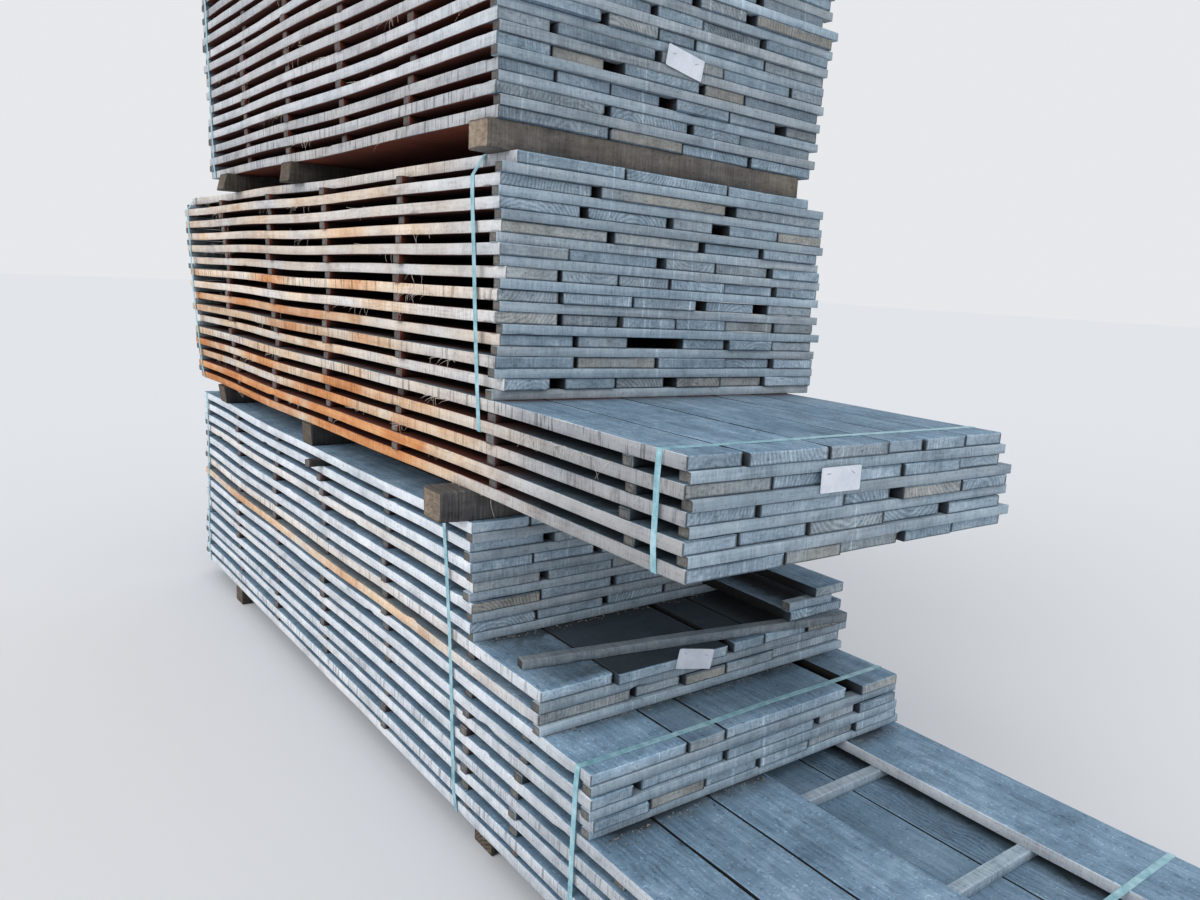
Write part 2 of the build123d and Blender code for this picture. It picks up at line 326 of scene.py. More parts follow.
deck = wood(
    "board_deck",
    (34, 1.3, 34),
    (9, 60, 9),
    ((67, 89, 107), (115, 142, 164), (160, 184, 204)),
    ((82, 84, 84), (118, 126, 130), (156, 158, 156)),
    (0.28, 0.32, 0.1, 0.42, 0.36, 0.1),
    (0.92, 1.08),
    depths=(0.0004, 0.0005),
    stain=0.42,
    crumbs=0.5,
    flecks=(120, 50, 120),
)
edge = wood(
    "board_edge",
    (9, 1.6, 30),
    (2, 360, 12),
    ((148, 155, 164), (204, 210, 217), (234, 238, 243)),
    ((172, 128, 92), (222, 198, 170), (242, 228, 210)),
    (0.3, 0.2, 0.5, 0.5, 0.35, 0.05),
    (0.84, 1.05),
    depths=(0.0004, 0.0012),
    fresh=True,
    groove_pitch=0.012,
)
end = wood(
    "board_end",
    (14, 10, 40),
    (300, 5, 24),
    ((90, 108, 122), (139, 157, 171), (185, 201, 212)),
    ((98, 97, 94), (147, 147, 143), (184, 184, 178)),
    (0.2, 0.3, 0.5, 0.5, 0.4, 0.17),
    (0.86, 1.14),
    depths=(0.0004, 0.0006),
    stain=0.4,
    own_warmth=0.5,
    runs=0.45,
)
stick_side = wood(
    "sticker_side",
    (1.5, 30, 40),
    (190, 8, 26),
    ((114, 132, 146), (158, 177, 191), (190, 206, 217)),
    ((108, 96, 88), (156, 147, 138), (192, 185, 176)),
    (0.3, 0.3, 0.5, 0.5, 0.4, 0.0),
    (0.88, 1.1),
    runs=0.3,
)
stick_end = wood(
    "sticker_end",
    (50, 60, 60),
    (30, 160, 40),
    ((62, 62, 62), (104, 104, 102), (144, 144, 142)),
    ((52, 38, 30), (90, 68, 54), (126, 104, 90)),
    (0.4, 0.3, 0.4, 0.3, 0.3, 0.1),
    (0.8, 1.15),
)
beam_side = wood(
    "bearer_side",
    (1.6, 12, 12),
    (170, 10, 7),
    ((44, 44, 46), (82, 82, 86), (118, 118, 118)),
    ((60, 52, 44), (106, 98, 88), (142, 136, 126)),
    (0.25, 0.25, 0.7, 0.5, 0.4, 0.0),
    (0.85, 1.1),
    depths=(0.0005, 0.0012),
    stain=0.4,
)
BUTT_BROWN = ((80, 68, 58), (130, 116, 100), (168, 155, 138))
beam_end = wood(
    "bearer_end",
    (50, 46, 60),
    (30, 60, 180),
    BUTT_BROWN,
    BUTT_BROWN,
    (0.4, 0.4, 0.4, 0.4, 0.4, 0.5),
    (0.9, 1.15),
    stain=0.4,
)

STRAP_STOPS = ((0.3, rgb(106, 158, 170)), (0.52, rgb(146, 190, 202)), (0.72, rgb(180, 214, 224)))
CARD_STOPS = ((0.28, rgb(196, 204, 214)), (0.55, rgb(226, 231, 240)), (0.75, rgb(238, 241, 247)))
STAPLE_STOPS = ((0.3, rgb(120, 112, 104)), (0.7, rgb(186, 188, 190)))
WEAVE_SCALE, WEAVE_DEPTH = 130, 0.0002


def strap_material():
    tree = Tree(bpy.data.materials.new("strap"))
    where = tree.place()
    bands = {"wave_type": "BANDS", "bands_direction": "DIAGONAL"}
    weave = tree.add("TexWave", "Fac", {"Scale": WEAVE_SCALE, "Vector": where}, **bands)
    wear = tree.noise(where, 40, 4, 0.6)
    roughness = tree.grade(wear, *MIDST, 0.28, 0.5)
    return tree.surface(tree.ramp(wear, STRAP_STOPS), roughness, tree.bump(weave, WEAVE_DEPTH, 0.5))


def card_material():
    tree = Tree(bpy.data.materials.new("card"))
    where = tree.place()
    smudge = tree.noise(where, 14, 5, 0.65)
    relief = tree.bump(tree.noise(where, 260, 2), 0.0001, 0.4)
    return tree.surface(tree.ramp(smudge, CARD_STOPS), tree.grade(smudge, *MIDST, 0.38, 0.6), relief)


def staple_material():
    tree = Tree(bpy.data.materials.new("staple"))
    tarnish = tree.noise(tree.place(), 300, 3)
    roughness = tree.grade(tarnish, *MIDST, 0.3, 0.55)
    return tree.surface(tree.ramp(tarnish, STAPLE_STOPS), roughness, Metallic=1.0)


strap_look = strap_material()
card_look = card_material()
staple_look = staple_material()


def smooth_step(value, low, high):
    part = np.clip((value - low) / (high - low), 0, 1)
    return part * part * (3 - 2 * part)


# the packs lean to the right at the near end, and their far ends stand out of line: height, then amount
LEAN = ((0.0, 0.6, 0.832, 0.902, 1.664, 1.724, 2.487), (0.0, 0.0, 0.006, 0.016, 0.030, 0.036, 0.042))
SWAY = ((0.0, 0.832, 0.902, 1.25, 1.664, 1.724, 2.487), (0.004, 0.012, 0.0, -0.025, -0.050, -0.030, -0.060))
LEAN_FADES = (-0.6, 1.7)
SWAY_FROM, SWAY_RUN = -0.3, 2.2

# small waves above the lowest rows: size, change along Y, change along Z and phase
ALOFT = (0.07, 0.45)
LIFT_WAVES = ((0.003, 2.7, 2.2, 0.6), (0.0015, 6.1, 5.0, 0.0))
SIDE_WAVES = ((0.0025, 2.3, 4.0, 1.0), (0.0015, 5.1, 7.3, 0.0))


def waves(rows, y, z):
    return sum(size * np.sin(along * y + up * z + phase) for size, along, up, phase in rows)


def settle(points):
    """One smooth shift that all pieces share, so that they stay in touch."""
    points = np.array(points, dtype=float)
    x, y, z = points.T
    near = 1 - smooth_step(y, *LEAN_FADES)
    aloft = smooth_step(z, *ALOFT)
    lift = -x * np.interp(z, *LEAN) * near + aloft * waves(LIFT_WAVES, y, z)
    shift = np.interp(z, *SWAY) * np.clip((y - SWAY_FROM) / SWAY_RUN, 0, 1) + aloft * waves(SIDE_WAVES, y, z)
    points[:, 0] += shift
    points[:, 2] += lift
    return points


# corner points closer than this, in metres, are one
WELD = 1e-5


def solids(node):
    """Corner points of each separate solid in a CAD node, from the top row down and left to right."""
    mesh = nodes[node].data
    points = np.array([v.co for v in mesh.vertices])
    known = {}
    ids = [known.setdefault(tuple(np.round(p / WELD).astype(int)), len(known)) for p in points]
    parent = list(range(len(known)))

    def find(i):
        while parent[i] != i:
            parent[i] = parent[parent[i]]
            i = parent[i]
        return i

    for face in mesh.polygons:
        first = find(ids[face.vertices[0]])
        for v in face.vertices[1:]:
            other = find(ids[v])
            if other != first:
                parent[other] = first
    groups = {}
    for point, i in zip(points, ids):
        groups.setdefault(find(i), []).append(point)

    def place_of(corners):
        x, y, z = corners.min(0).round(3)
        return -z, x, y

    return sorted((np.array(g) for g in groups.values()), key=place_of)


def wave(rng, along, step, size):
    """A smooth random line over the places given, between -size and size."""
    count = max(int(along[-1] / step) + 3, 4)
    knots = rng.uniform(-size, size, count)
    at = along / step
    low = np.clip(at.astype(int), 0, count - 2)
    part = at - low
    part = part * part * (3 - 2 * part)
    return knots[low] * (1 - part) + knots[low + 1] * part


# places of the points in a plank's section: underside, right side, top and left side, and its corners
UNDER = range(0, 5)
RIGHT = range(5, 8)
TOP = range(8, 13)
LEFT = range(13, 16)
RING = 16
LOW_LEFT, LOW_RIGHT, TOP_RIGHT, TOP_LEFT = 0, 4, 8, 12
LEFT_FACE = (TOP_LEFT, *LEFT, LOW_LEFT)
RIGHT_FACE = (LOW_RIGHT, *RIGHT, TOP_RIGHT)
CAP_FACES = (RIGHT_FACE, LEFT_FACE, (0, 1, 11, 12), (1, 2, 10, 11), (2, 3, 9, 10), (3, 4, 8, 9))

# margins of the wide faces and of the ends, the most that one takes of a face, depth of the end's margin
MARGIN, CAP_MARGIN, MARGIN_SHARE, CAP_DEPTH = 0.005, 0.0035, 0.2, 0.0002

# how far a side that lies against a neighbour stands back, so that the seam shows
SEAM = 0.0012

# chips: share that sits at the near end, how near, room beside the others, half lengths and share of size
CHIPS_AT_END, END_CHIP_REACH, CHIP_ROOM, CHIP_REACH, CHIP_SIZES = 0.35, 0.06, 0.02, (0.015, 0.05), (0.4, 1.0)

# unevenness of the wide faces and its length, their hollow, and the width that has the whole hollow
FACE_WAVE, FACE_STEP, HOLLOW, HOLLOW_WIDTH = 0.0006, 0.25, 0.0012, 0.15

# waves of the sides: length of the long and of the short ones, and share of the short ones
LONG_STEP, SHORT_STEP, SHORT_SHARE = 0.3, 0.06, 0.35

# wear of the long edges: length of its waves, share that is worn everywhere, and how blunt the chips are
WEAR_STEP, LEAST_WEAR, CHIP_BLUNT = 0.05, 0.4, 0.7

# how far the ends are out of square, over what length, and the most of the smaller side that is worn off
OUT_OF_SQUARE, SQUARE_REACH, MOST_WORN = 0.002, 0.1, 0.42

# least distance between two sections, and the angle past which a smooth piece keeps its edges
LEAST_STATION, WOOD_SHARP = 0.0008, 52

# rim values: grime with painted shade above 0, bleached wood with a painted highlight below 0
RIM_SEAM, RIM_END, RIM_LOW_ARRIS = 1.0, 0.75, 0.35
RIM_TOP_ARRIS, RIM_OPEN_DECK = -0.5, -0.6


def chips_along(rng, length, count, size):
    """Centre, reach, corner and depth of the chips broken out of the long edges."""
    chips = []
    for _ in range(count):
        centre = rng.uniform(CHIP_ROOM, length - CHIP_ROOM)
        if rng.random() < CHIPS_AT_END:
            centre = rng.uniform(0.0, END_CHIP_REACH)
        reach, corner = rng.uniform(*CHIP_REACH), int(rng.integers(4))
        chips.append((centre, reach, corner, rng.uniform(*CHIP_SIZES) * size))
    return chips


def stations_of(length, step, lip, chips, extra):
    """Places along a plank where its section is drawn."""
    even = np.linspace(0, length, max(int(length / step), 2) + 1)
    stations = [*even, lip, length - lip, *extra]
    for centre, reach, _, _ in chips:
        stations += [centre + reach * share for share in (-1, -0.5, 0, 0.5, 1)]
    along = np.array(sorted({round(float(s), 4) for s in stations if 0 <= s <= length}))
    keep = [0]
    for i in range(1, len(along) - 1):
        if along[i] - along[keep[-1]] > LEAST_STATION:
            keep.append(i)
    return along[keep + [len(along) - 1]]


def spread_over(start, finish):
    """Five places across a face, two of them close to its edges."""
    margin = np.minimum(MARGIN, np.abs(finish - start) * MARGIN_SHARE) * np.sign(finish - start)
    return [start, start + margin, (start + finish) / 2, finish - margin, finish]


def ragged_side(rng, along, size):
    """How far a sawn side stands back: long waves with short ones on them."""
    long = np.abs(wave(rng, along, LONG_STEP, size))
    return long + np.abs(wave(rng, along, SHORT_STEP, size * SHORT_SHARE))


def shrunk(values, full, inset):
    """Places across a section, drawn in towards its middle by the inset."""
    return full / 2 + (values - full / 2) * (1 - 2 * inset / full)


def plank_section(rng, along, width, thick, worn, ragged, buried):
    """Places across and up of the section's points at each station, one row a station."""
    left = ragged_side(rng, along, ragged) + SEAM * buried[0]
    right = width - ragged_side(rng, along, ragged) - SEAM * buried[1]
    top = thick - np.abs(wave(rng, along, FACE_STEP, FACE_WAVE))
    bottom = np.abs(wave(rng, along, FACE_STEP, FACE_WAVE))
    hollow = rng.uniform(0, HOLLOW) * min(width / HOLLOW_WIDTH, 1)
    low_row = spread_over(left + worn[0], right - worn[1])
    high_row = spread_over(right - worn[2], left + worn[3])
    dip = (0, 0, hollow, 0, 0)
    ring = [(across, bottom + d) for across, d in zip(low_row, dip)]
    for share in (0, 0.5, 1):
        ring.append((right, bottom + worn[1] + (top - bottom - worn[1] - worn[2]) * share))
    ring += [(across, top - d) for across, d in zip(high_row, dip)]
    for share in (0, 0.5, 1):
        ring.append((left, top - worn[3] + (bottom - top + worn[3] + worn[0]) * share))
    return np.stack([r[0] for r in ring], 1), np.stack([r[1] for r in ring], 1)


def plank_faces(count, buried):
    """Faces of a plank with this many stations, and the kind of each."""
    round_kinds = []
    for j in range(RING):
        # sides against a neighbour take the darker deck wood as painted shade in the seam
        touched = buried[1] if j in RIGHT_FACE[:-1] else buried[0]
        wide = j in UNDER[:-1] or j in TOP[:-1]
        round_kinds.append(DECK if wide or touched else EDGE)
    faces, kinds = [], []
    for i in range(count - 1):
        a, b = i * RING, (i + 1) * RING
        for j in range(RING):
            k = (j + 1) % RING
            faces.append((a + j, b + j, b + k, a + k))
            kinds.append(round_kinds[j])
    last = (count - 1) * RING
    near_ring = count * RING
    far_ring = near_ring + RING
    for j in range(RING):
        k = (j + 1) % RING
        faces.append((j, k, near_ring + k, near_ring + j))
        faces.append((last + k, last + j, far_ring + j, far_ring + k))
    for cap in CAP_FACES:
        faces.append(tuple(near_ring + c for c in cap))
        faces.append(tuple(far_ring + c for c in reversed(cap)))
    kinds += [END] * (len(faces) - len(kinds))
    return faces, kinds


# metres between sections, wear of the long edges, number and size of the chips, raggedness of the sides
BOARD_CUT = (0.085, 0.0013, 3, 0.006, 0.0018)
STICKER_CUT = (0.12, 0.0012, 1, 0.006, 0.0015)
OUTRUNNER_CUT = (0.05, 0.0012, 1, 0.006, 0.0015)
LOOSE_CUT = (0.06, 0.0015, 4, 0.005, 0.001)
BEARER_CUT = (0.06, 0.002, 5, 0.006, 0.0015)


def plank(length, width, thick, rng, cut, buried=(False, False), extra=()):
    """Points (along, across, up), faces, kind of each face and rim value of each point of a worn piece.

    buried: whether the left and the right side lie against a neighbour. extra: further places along it
    that get a section.
    """
    step, arris, chip_count, chip_size, ragged = cut
    chips = chips_along(rng, length, chip_count, chip_size)
    lip = min(arris, length * 0.1)
    along = stations_of(length, step, lip, chips, extra)
    worn = [np.abs(wave(rng, along, WEAR_STEP, arris)) + LEAST_WEAR * arris for _ in range(4)]
    for centre, reach, corner, depth in chips:
        near = np.clip(1 - np.abs(along - centre) / reach, 0, 1)
        worn[corner] = worn[corner] + depth * near**CHIP_BLUNT
    limit = min(width, thick) * MOST_WORN
    worn = [np.minimum(w, limit) for w in worn]
    across, up = plank_section(rng, along, width, thick, worn, ragged, buried)
    places = np.repeat(along[:, None], RING, 1)
    square = rng.uniform(-OUT_OF_SQUARE, OUT_OF_SQUARE, 2)
    share_across = across / width - 0.5
    near_end = np.clip(1 - places / SQUARE_REACH, 0, 1)
    far_end = np.clip(1 - (length - places) / SQUARE_REACH, 0, 1)
    places = places + near_end * np.abs(square[0] * share_across) - far_end * np.abs(square[1] * share_across)
    for row in (0, len(along) - 1):
        across[row] = shrunk(across[row], width, lip)
        up[row] = shrunk(up[row], thick, lip)

    around = np.zeros(RING)
    # seams and low arrises get grime with painted shade, open top arrises bleach with a painted highlight
    for side, touched, high_point, low_point in (
        (LEFT, buried[0], TOP_LEFT, LOW_LEFT),
        (RIGHT, buried[1], TOP_RIGHT, LOW_RIGHT),
    ):
        if touched:
            around[[*side, high_point, low_point]] = RIM_SEAM
        else:
            around[high_point] = RIM_TOP_ARRIS
            around[low_point] = RIM_LOW_ARRIS
    rim = np.repeat(around[None, :], len(along), 0)
    rim[[0, -1]] = RIM_END

    shapes = [np.stack([places, across, up], 2).reshape(-1, 3)]
    rims = [rim.ravel()]
    inset = min(CAP_MARGIN, MARGIN_SHARE * min(width, thick))
    for row, inward in ((0, CAP_DEPTH), (len(along) - 1, -CAP_DEPTH)):
        cap = (places[row] + inward, shrunk(across[row], width, inset), shrunk(up[row], thick, inset))
        shapes.append(np.stack(cap, 1))
        rims.append(np.zeros(RING))
    faces, kinds = plank_faces(len(along), buried)
    return np.concatenate(shapes), faces, kinds, np.concatenate(rims)


def add_piece(name, node, looks, points, faces, kinds, sharp=None, carried=None):
    """Makes the visible piece that stands for a CAD node, settled as all pieces are.

    sharp: angle in degrees past which a smooth piece keeps its edges. carried: vectors of its points.
    """
    mesh = bpy.data.meshes.new(name)
    mesh.from_pydata(settle(points).tolist(), [], faces)
    for look in looks:
        mesh.materials.append(look)
    mesh.polygons.foreach_set("material_index", kinds)
    for attribute, values in (carried or {}).items():
        held = mesh.attributes.new(attribute, "FLOAT_VECTOR", "POINT")
        held.data.foreach_set("vector", np.concatenate(values).astype(np.float32).ravel())
    if sharp:
        mesh.polygons.foreach_set("use_smooth", [True] * len(faces))
        mesh.set_sharp_from_angle(angle=math.radians(sharp))
    mesh.update()
    piece = new_object(name, mesh)
    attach(piece, "root")
    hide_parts(node)


class Pile:
    """Gathers sawn pieces into one object."""

    def __init__(self):
        self.points, self.faces, self.kinds, self.carried, self.count = [], [], [], {}, 0

    def add(self, points, faces, kinds, carried):
        self.points.append(points)
        self.faces += [tuple(v + self.count for v in f) for f in faces]
        self.kinds += kinds
        for name, values in carried.items():
            self.carried.setdefault(name, []).append(values)
        self.count += len(points)

    def finish(self, node, slot, looks):
        points = np.concatenate(self.points)
        add_piece("sawn_" + node, node, looks, points, self.faces, self.kinds, WOOD_SHARP, self.carried)


# where a piece's pith lies, as shares of its width and thickness
PITH_ASIDE = (-0.2, 1.2)
PITH_AWAY = (0.6, 3.0)


def columns(count, *values):
    """One row for each point, from values that are the same for all points or one a point."""
    return np.column_stack([np.broadcast_to(v, count) for v in values])


def carried_values(points, rng, tone, warmth, rim, hidden, umber, section):
    """What a piece's mesh carries: seed, tone, warmth; rim, hidden, umber; place measured from its pith."""
    sawn = columns(len(points), rng.random(), tone, warmth)
    wide, thick = section.max(0)
    aside = rng.uniform(*PITH_ASIDE) * wide
    away = rng.choice([-1, 1]) * rng.uniform(*PITH_AWAY) * thick + thick / 2
    from_pith = np.column_stack([section - (aside, away), points[:, 1]])
    return {"sawn": sawn, "worn": columns(len(points), rim, hidden, umber), "pith": from_pith}


def plain_values(count, seed, tone, warmth):
    """What the mesh of a crumb or a fibre carries: bare wood of one tone."""
    bare = np.zeros((count, 3))
    return {"sawn": columns(count, seed, tone, warmth), "worn": bare, "pith": bare}


# seed, warmth of the pieces, how brown their hidden faces are, darkest and lightest piece, how dark the
# painted shade of a covered face already is at the pack's side, how much soil and painted shade darken the
# open decks, how much darker painted shade makes the sides towards the near end, and the node on top
BOARD_NODES = {
    "top_boards": (101, 0.12, 1.0, (-0.75, 0.55), 0.85, 0.0, 0.0, None),
    "middle_short_boards": (202, 0.85, 1.0, (0.3, 1.3), 0.85, 0.0, 0.0, None),
    "middle_long_boards": (303, 1.8, 1.0, (0.4, 1.4), 0.85, 0.0, 2.1, "middle_short_boards"),
    "bottom_step_1_boards": (404, 0.05, 0.15, (0.9, 1.6), 0.0, 0.0, 1.4, None),
    "bottom_step_2_boards": (505, 0.8, 0.0, (0.7, 1.5), 0.0, 0.32, 1.4, "bottom_step_1_boards"),
    "bottom_step_3_boards": (606, 0.1, 0.0, (0.9, 1.8), 0.0, 0.1, 1.6, "bottom_step_2_boards"),
    "bottom_step_4_boards": (707, 0.05, 0.0, (0.8, 1.6), 0.0, 0.0, 1.5, "bottom_step_3_boards"),
}

# packs whose lowest row hangs clear of what carries it, and how dark the painted shade of its underside is
OPEN_BELOW = ("top_boards", "middle_long_boards", "bottom_step_4_boards")
OPEN_UNDERSIDE = 0.8

# gap in a top row that leaves the sides open, gap where there is no neighbour, foot where there is no step
WIDE_GAP, NO_NEIGHBOUR, NO_STEP = 0.06, 1.0, 99.0

# random set-back of the near and the far ends, and bow
NEAR_SET_BACK, FAR_SET_BACK, BOARD_BOW = 0.005, 0.012, 0.0025

# painted light added to the corner board of a soiled and shaded deck, and how much less dark the painted
# shade of the gaps is at the near end
LIT_OPEN_CORNER, NEAR_GAPS = 1.3, 0.3

# dirt and painted shade along the foot of a step: its reach, how dark it is, and how dark the painted shade
# is where a lower row lies open
FOOT_REACH, FOOT_DIRT_AND_SHADE, RECESS_SHADE = 0.07, 0.4, 0.12
FOOT_STATIONS = (-0.10, -0.05, -0.02, 0.01)

# how far outside and inside the edges of the row above its cover sets in, across and along
COVER_ACROSS, COVER_ALONG = (0.012, 0.004), (0.03, 0.02)

# distances from a side and from an end at which a covered face is dark with painted shade, and what stays
# light at the ends
DARK_INSIDE, DARK_BENEATH = 0.08, (0.002, 0.05)
BARE_END, LIGHT_ARRIS_END, ARRIS_HIDDEN = 0.003, 0.01, 0.4

# along Y: where the shelter of the pack starts, the darker sides fade and the warmth sets in
SHELTER, SHADE_FADES, WARMTH_SETS_IN = (-0.85, -0.5), (-1.0, -0.5), (-1.0, 0.15)

# warmth of a board beside its pack's, in the top row, what the lower rows add, and what the near end keeps
WARMTH_SPREAD, TOP_ROW_WARMTH, ROWS_WARMTH, NEAR_WARMTH = (0.7, 1.3), 0.55, 0.8, 0.08

# a pack less warm than this has this share of odd brown boards, of this warmth
GREY_PACK, ODD_BOARDS, ODD_WARMTH = 0.1, 0.2, (0.2, 0.5)


def rows_of(pieces):
    """Pieces grouped by row, from the top row down."""
    rows = {}
    for corners in pieces:
        rows.setdefault(round(corners[:, 2].min(), 3), []).append(corners)
    return [rows[key] for key in sorted(rows, reverse=True)]


def sheltered(world):
    """How far points lie from the weathered near end, from 0 to 1."""
    return smooth_step(world[:, 1], *SHELTER)


def covered_by(above, world):
    """Share from 0 to 1 to which points lie under the boards of the row above."""
    covered = np.zeros(len(world))
    outside, inside = COVER_ACROSS
    before, behind = COVER_ALONG
    for low, high in above:
        across = smooth_step(world[:, 0], low[0] - outside, low[0] + inside)
        across *= 1 - smooth_step(world[:, 0], high[0] - inside, high[0] + outside)
        covered = np.maximum(covered, across * smooth_step(world[:, 1], low[1] - before, low[1] + behind))
    return covered


# a fibre: steps, thickness, reach, and how much it turns and sags for its reach
HAIR_STEPS, HAIR_THICK, HAIR_REACH, HAIR_TURN, HAIR_SAG = 4, 0.0007, (0.012, 0.045), 1.1, (-0.2, 1.0)

# tufts of loose fibres: how many a metre, their spread, fibres in each, the share on the lower edge, how
# far they keep from the ends, and how far inside the board they root, across and up
TUFTS_A_METRE, TUFT_SPREAD, HAIRS_A_TUFT, LOW_TUFTS = 1.1, 0.05, (3, 15), 0.6
TUFT_ROOM, ROOT_IN, ROOT_UP = 0.1, 0.003, 0.001
FUZZ_TONE, FUZZ_WARMTH = 0.3, 0.6


def make_hair(root, rng):
    """A loose wood fibre, a thin three-sided curl hanging from a board's edge."""
    reach = rng.uniform(*HAIR_REACH)
    turn = rng.uniform(-HAIR_TURN, HAIR_TURN)
    sag = rng.uniform(*HAIR_SAG)
    points, faces = [], []
    for step in range(HAIR_STEPS + 1):
        share = step / HAIR_STEPS
        bend = (-0.6 * share * (1 - 0.4 * share), turn * share**1.3, -sag * share**1.7)
        centre = root + reach * np.array(bend)
        thick = HAIR_THICK * (1 - 0.6 * share)
        for corner in range(3):
            angle = corner * 2 * math.pi / 3
            around = np.array((0.5 * math.sin(angle), math.cos(angle), math.sin(angle)))
            points.append(centre + thick * around)
    for step in range(HAIR_STEPS):
        for corner in range(3):
            a, b = step * 3 + corner, step * 3 + (corner + 1) % 3
            faces.append((a, b, b + 3, a + 3))
    faces += [(2, 1, 0), tuple(3 * HAIR_STEPS + c for c in range(3))]
    return np.array(points), faces


def add_fuzz(pile, low, high, rng):
    """Tufts of loose fibres along the left edges of a row's first board."""
    for _ in range(rng.poisson(TUFTS_A_METRE * (high[1] - low[1]))):
        centre = rng.uniform(low[1] + TUFT_ROOM, high[1] - TUFT_ROOM)
        level = low[2] + ROOT_UP if rng.random() < LOW_TUFTS else high[2] - ROOT_UP
        for _ in range(rng.integers(*HAIRS_A_TUFT)):
            root = np.array((low[0] + ROOT_IN, centre + rng.normal(0, TUFT_SPREAD), level))
            points, faces = make_hair(root, rng)
            values = plain_values(len(points), rng.random(), FUZZ_TONE, FUZZ_WARMTH)
            pile.add(points, faces, [EDGE] * len(faces), values)


# crumbs of sawdust: least and greatest half size, how many a metre, tones, warmth and how far they strew
FLAKE_LOW, FLAKE_HIGH = np.array((0.001, 0.0006, 0.0003)), np.array((0.0035, 0.0016, 0.0009))
FLAKES_A_METRE, FLAKE_TONES, FLAKE_WARMTH, FLAKE_STREW = 220, (-3.6, -1.2), 0.5, 0.012

# how deep they lie in the deck, and their least distance from its sides, from the foot and from its end
FLAKE_SUNK, FLAKE_ROOM, FLAKE_FOOT_ROOM, FLAKE_END_ROOM = 0.0006, 0.006, 0.003, 0.02
FLAKE_CORNERS = np.array([(x, y, z) for z in (-1, 1) for x, y in ((-1, -1), (1, -1), (1, 1), (-1, 1))])
FLAKE_FACES = [(3, 2, 1, 0), (4, 5, 6, 7), (0, 1, 5, 4), (1, 2, 6, 5), (2, 3, 7, 6), (3, 0, 4, 7)]


def add_flakes(pile, low, high, above, rng):
    """Crumbs of sawdust and bark that lie on a deck along the foot of the step above it."""
    for _ in range(rng.poisson(FLAKES_A_METRE * (high[0] - low[0]))):
        side = rng.uniform(low[0] + FLAKE_ROOM, high[0] - FLAKE_ROOM)
        feet = [start[1] for start, finish in above if start[0] < side < finish[0]]
        ahead = min(feet, default=low[1]) - FLAKE_FOOT_ROOM - abs(rng.normal(0, FLAKE_STREW))
        if ahead < low[1] + FLAKE_END_ROOM:
            continue
        half = rng.uniform(FLAKE_LOW, FLAKE_HIGH)
        turn = rng.uniform(0, math.pi)
        points = FLAKE_CORNERS * half * rng.uniform(0.75, 1.0, (8, 3))
        across = points[:, 0] * math.cos(turn) - points[:, 1] * math.sin(turn)
        along = points[:, 0] * math.sin(turn) + points[:, 1] * math.cos(turn)
        level = high[2] - FLAKE_SUNK + half[2]
        world = np.column_stack([side + across, ahead + along, level + points[:, 2]])
        values = plain_values(len(world), rng.random(), rng.uniform(*FLAKE_TONES), FLAKE_WARMTH)
        pile.add(world, FLAKE_FACES, [EDGE] * len(FLAKE_FACES), values)


def board_warmth(rng, warm_base, depth_share, world):
    """How brown a board is along its length; depth_share goes from 0 in the top row to 1 in the lowest."""
    warmth = warm_base * rng.uniform(*WARMTH_SPREAD)
    warmth *= TOP_ROW_WARMTH + ROWS_WARMTH * depth_share
    if warm_base < GREY_PACK and rng.random() < ODD_BOARDS:
        warmth = rng.uniform(*ODD_WARMTH)
    return warmth * (NEAR_WARMTH + (1 - NEAR_WARMTH) * smooth_step(world[:, 1], *WARMTH_SETS_IN))


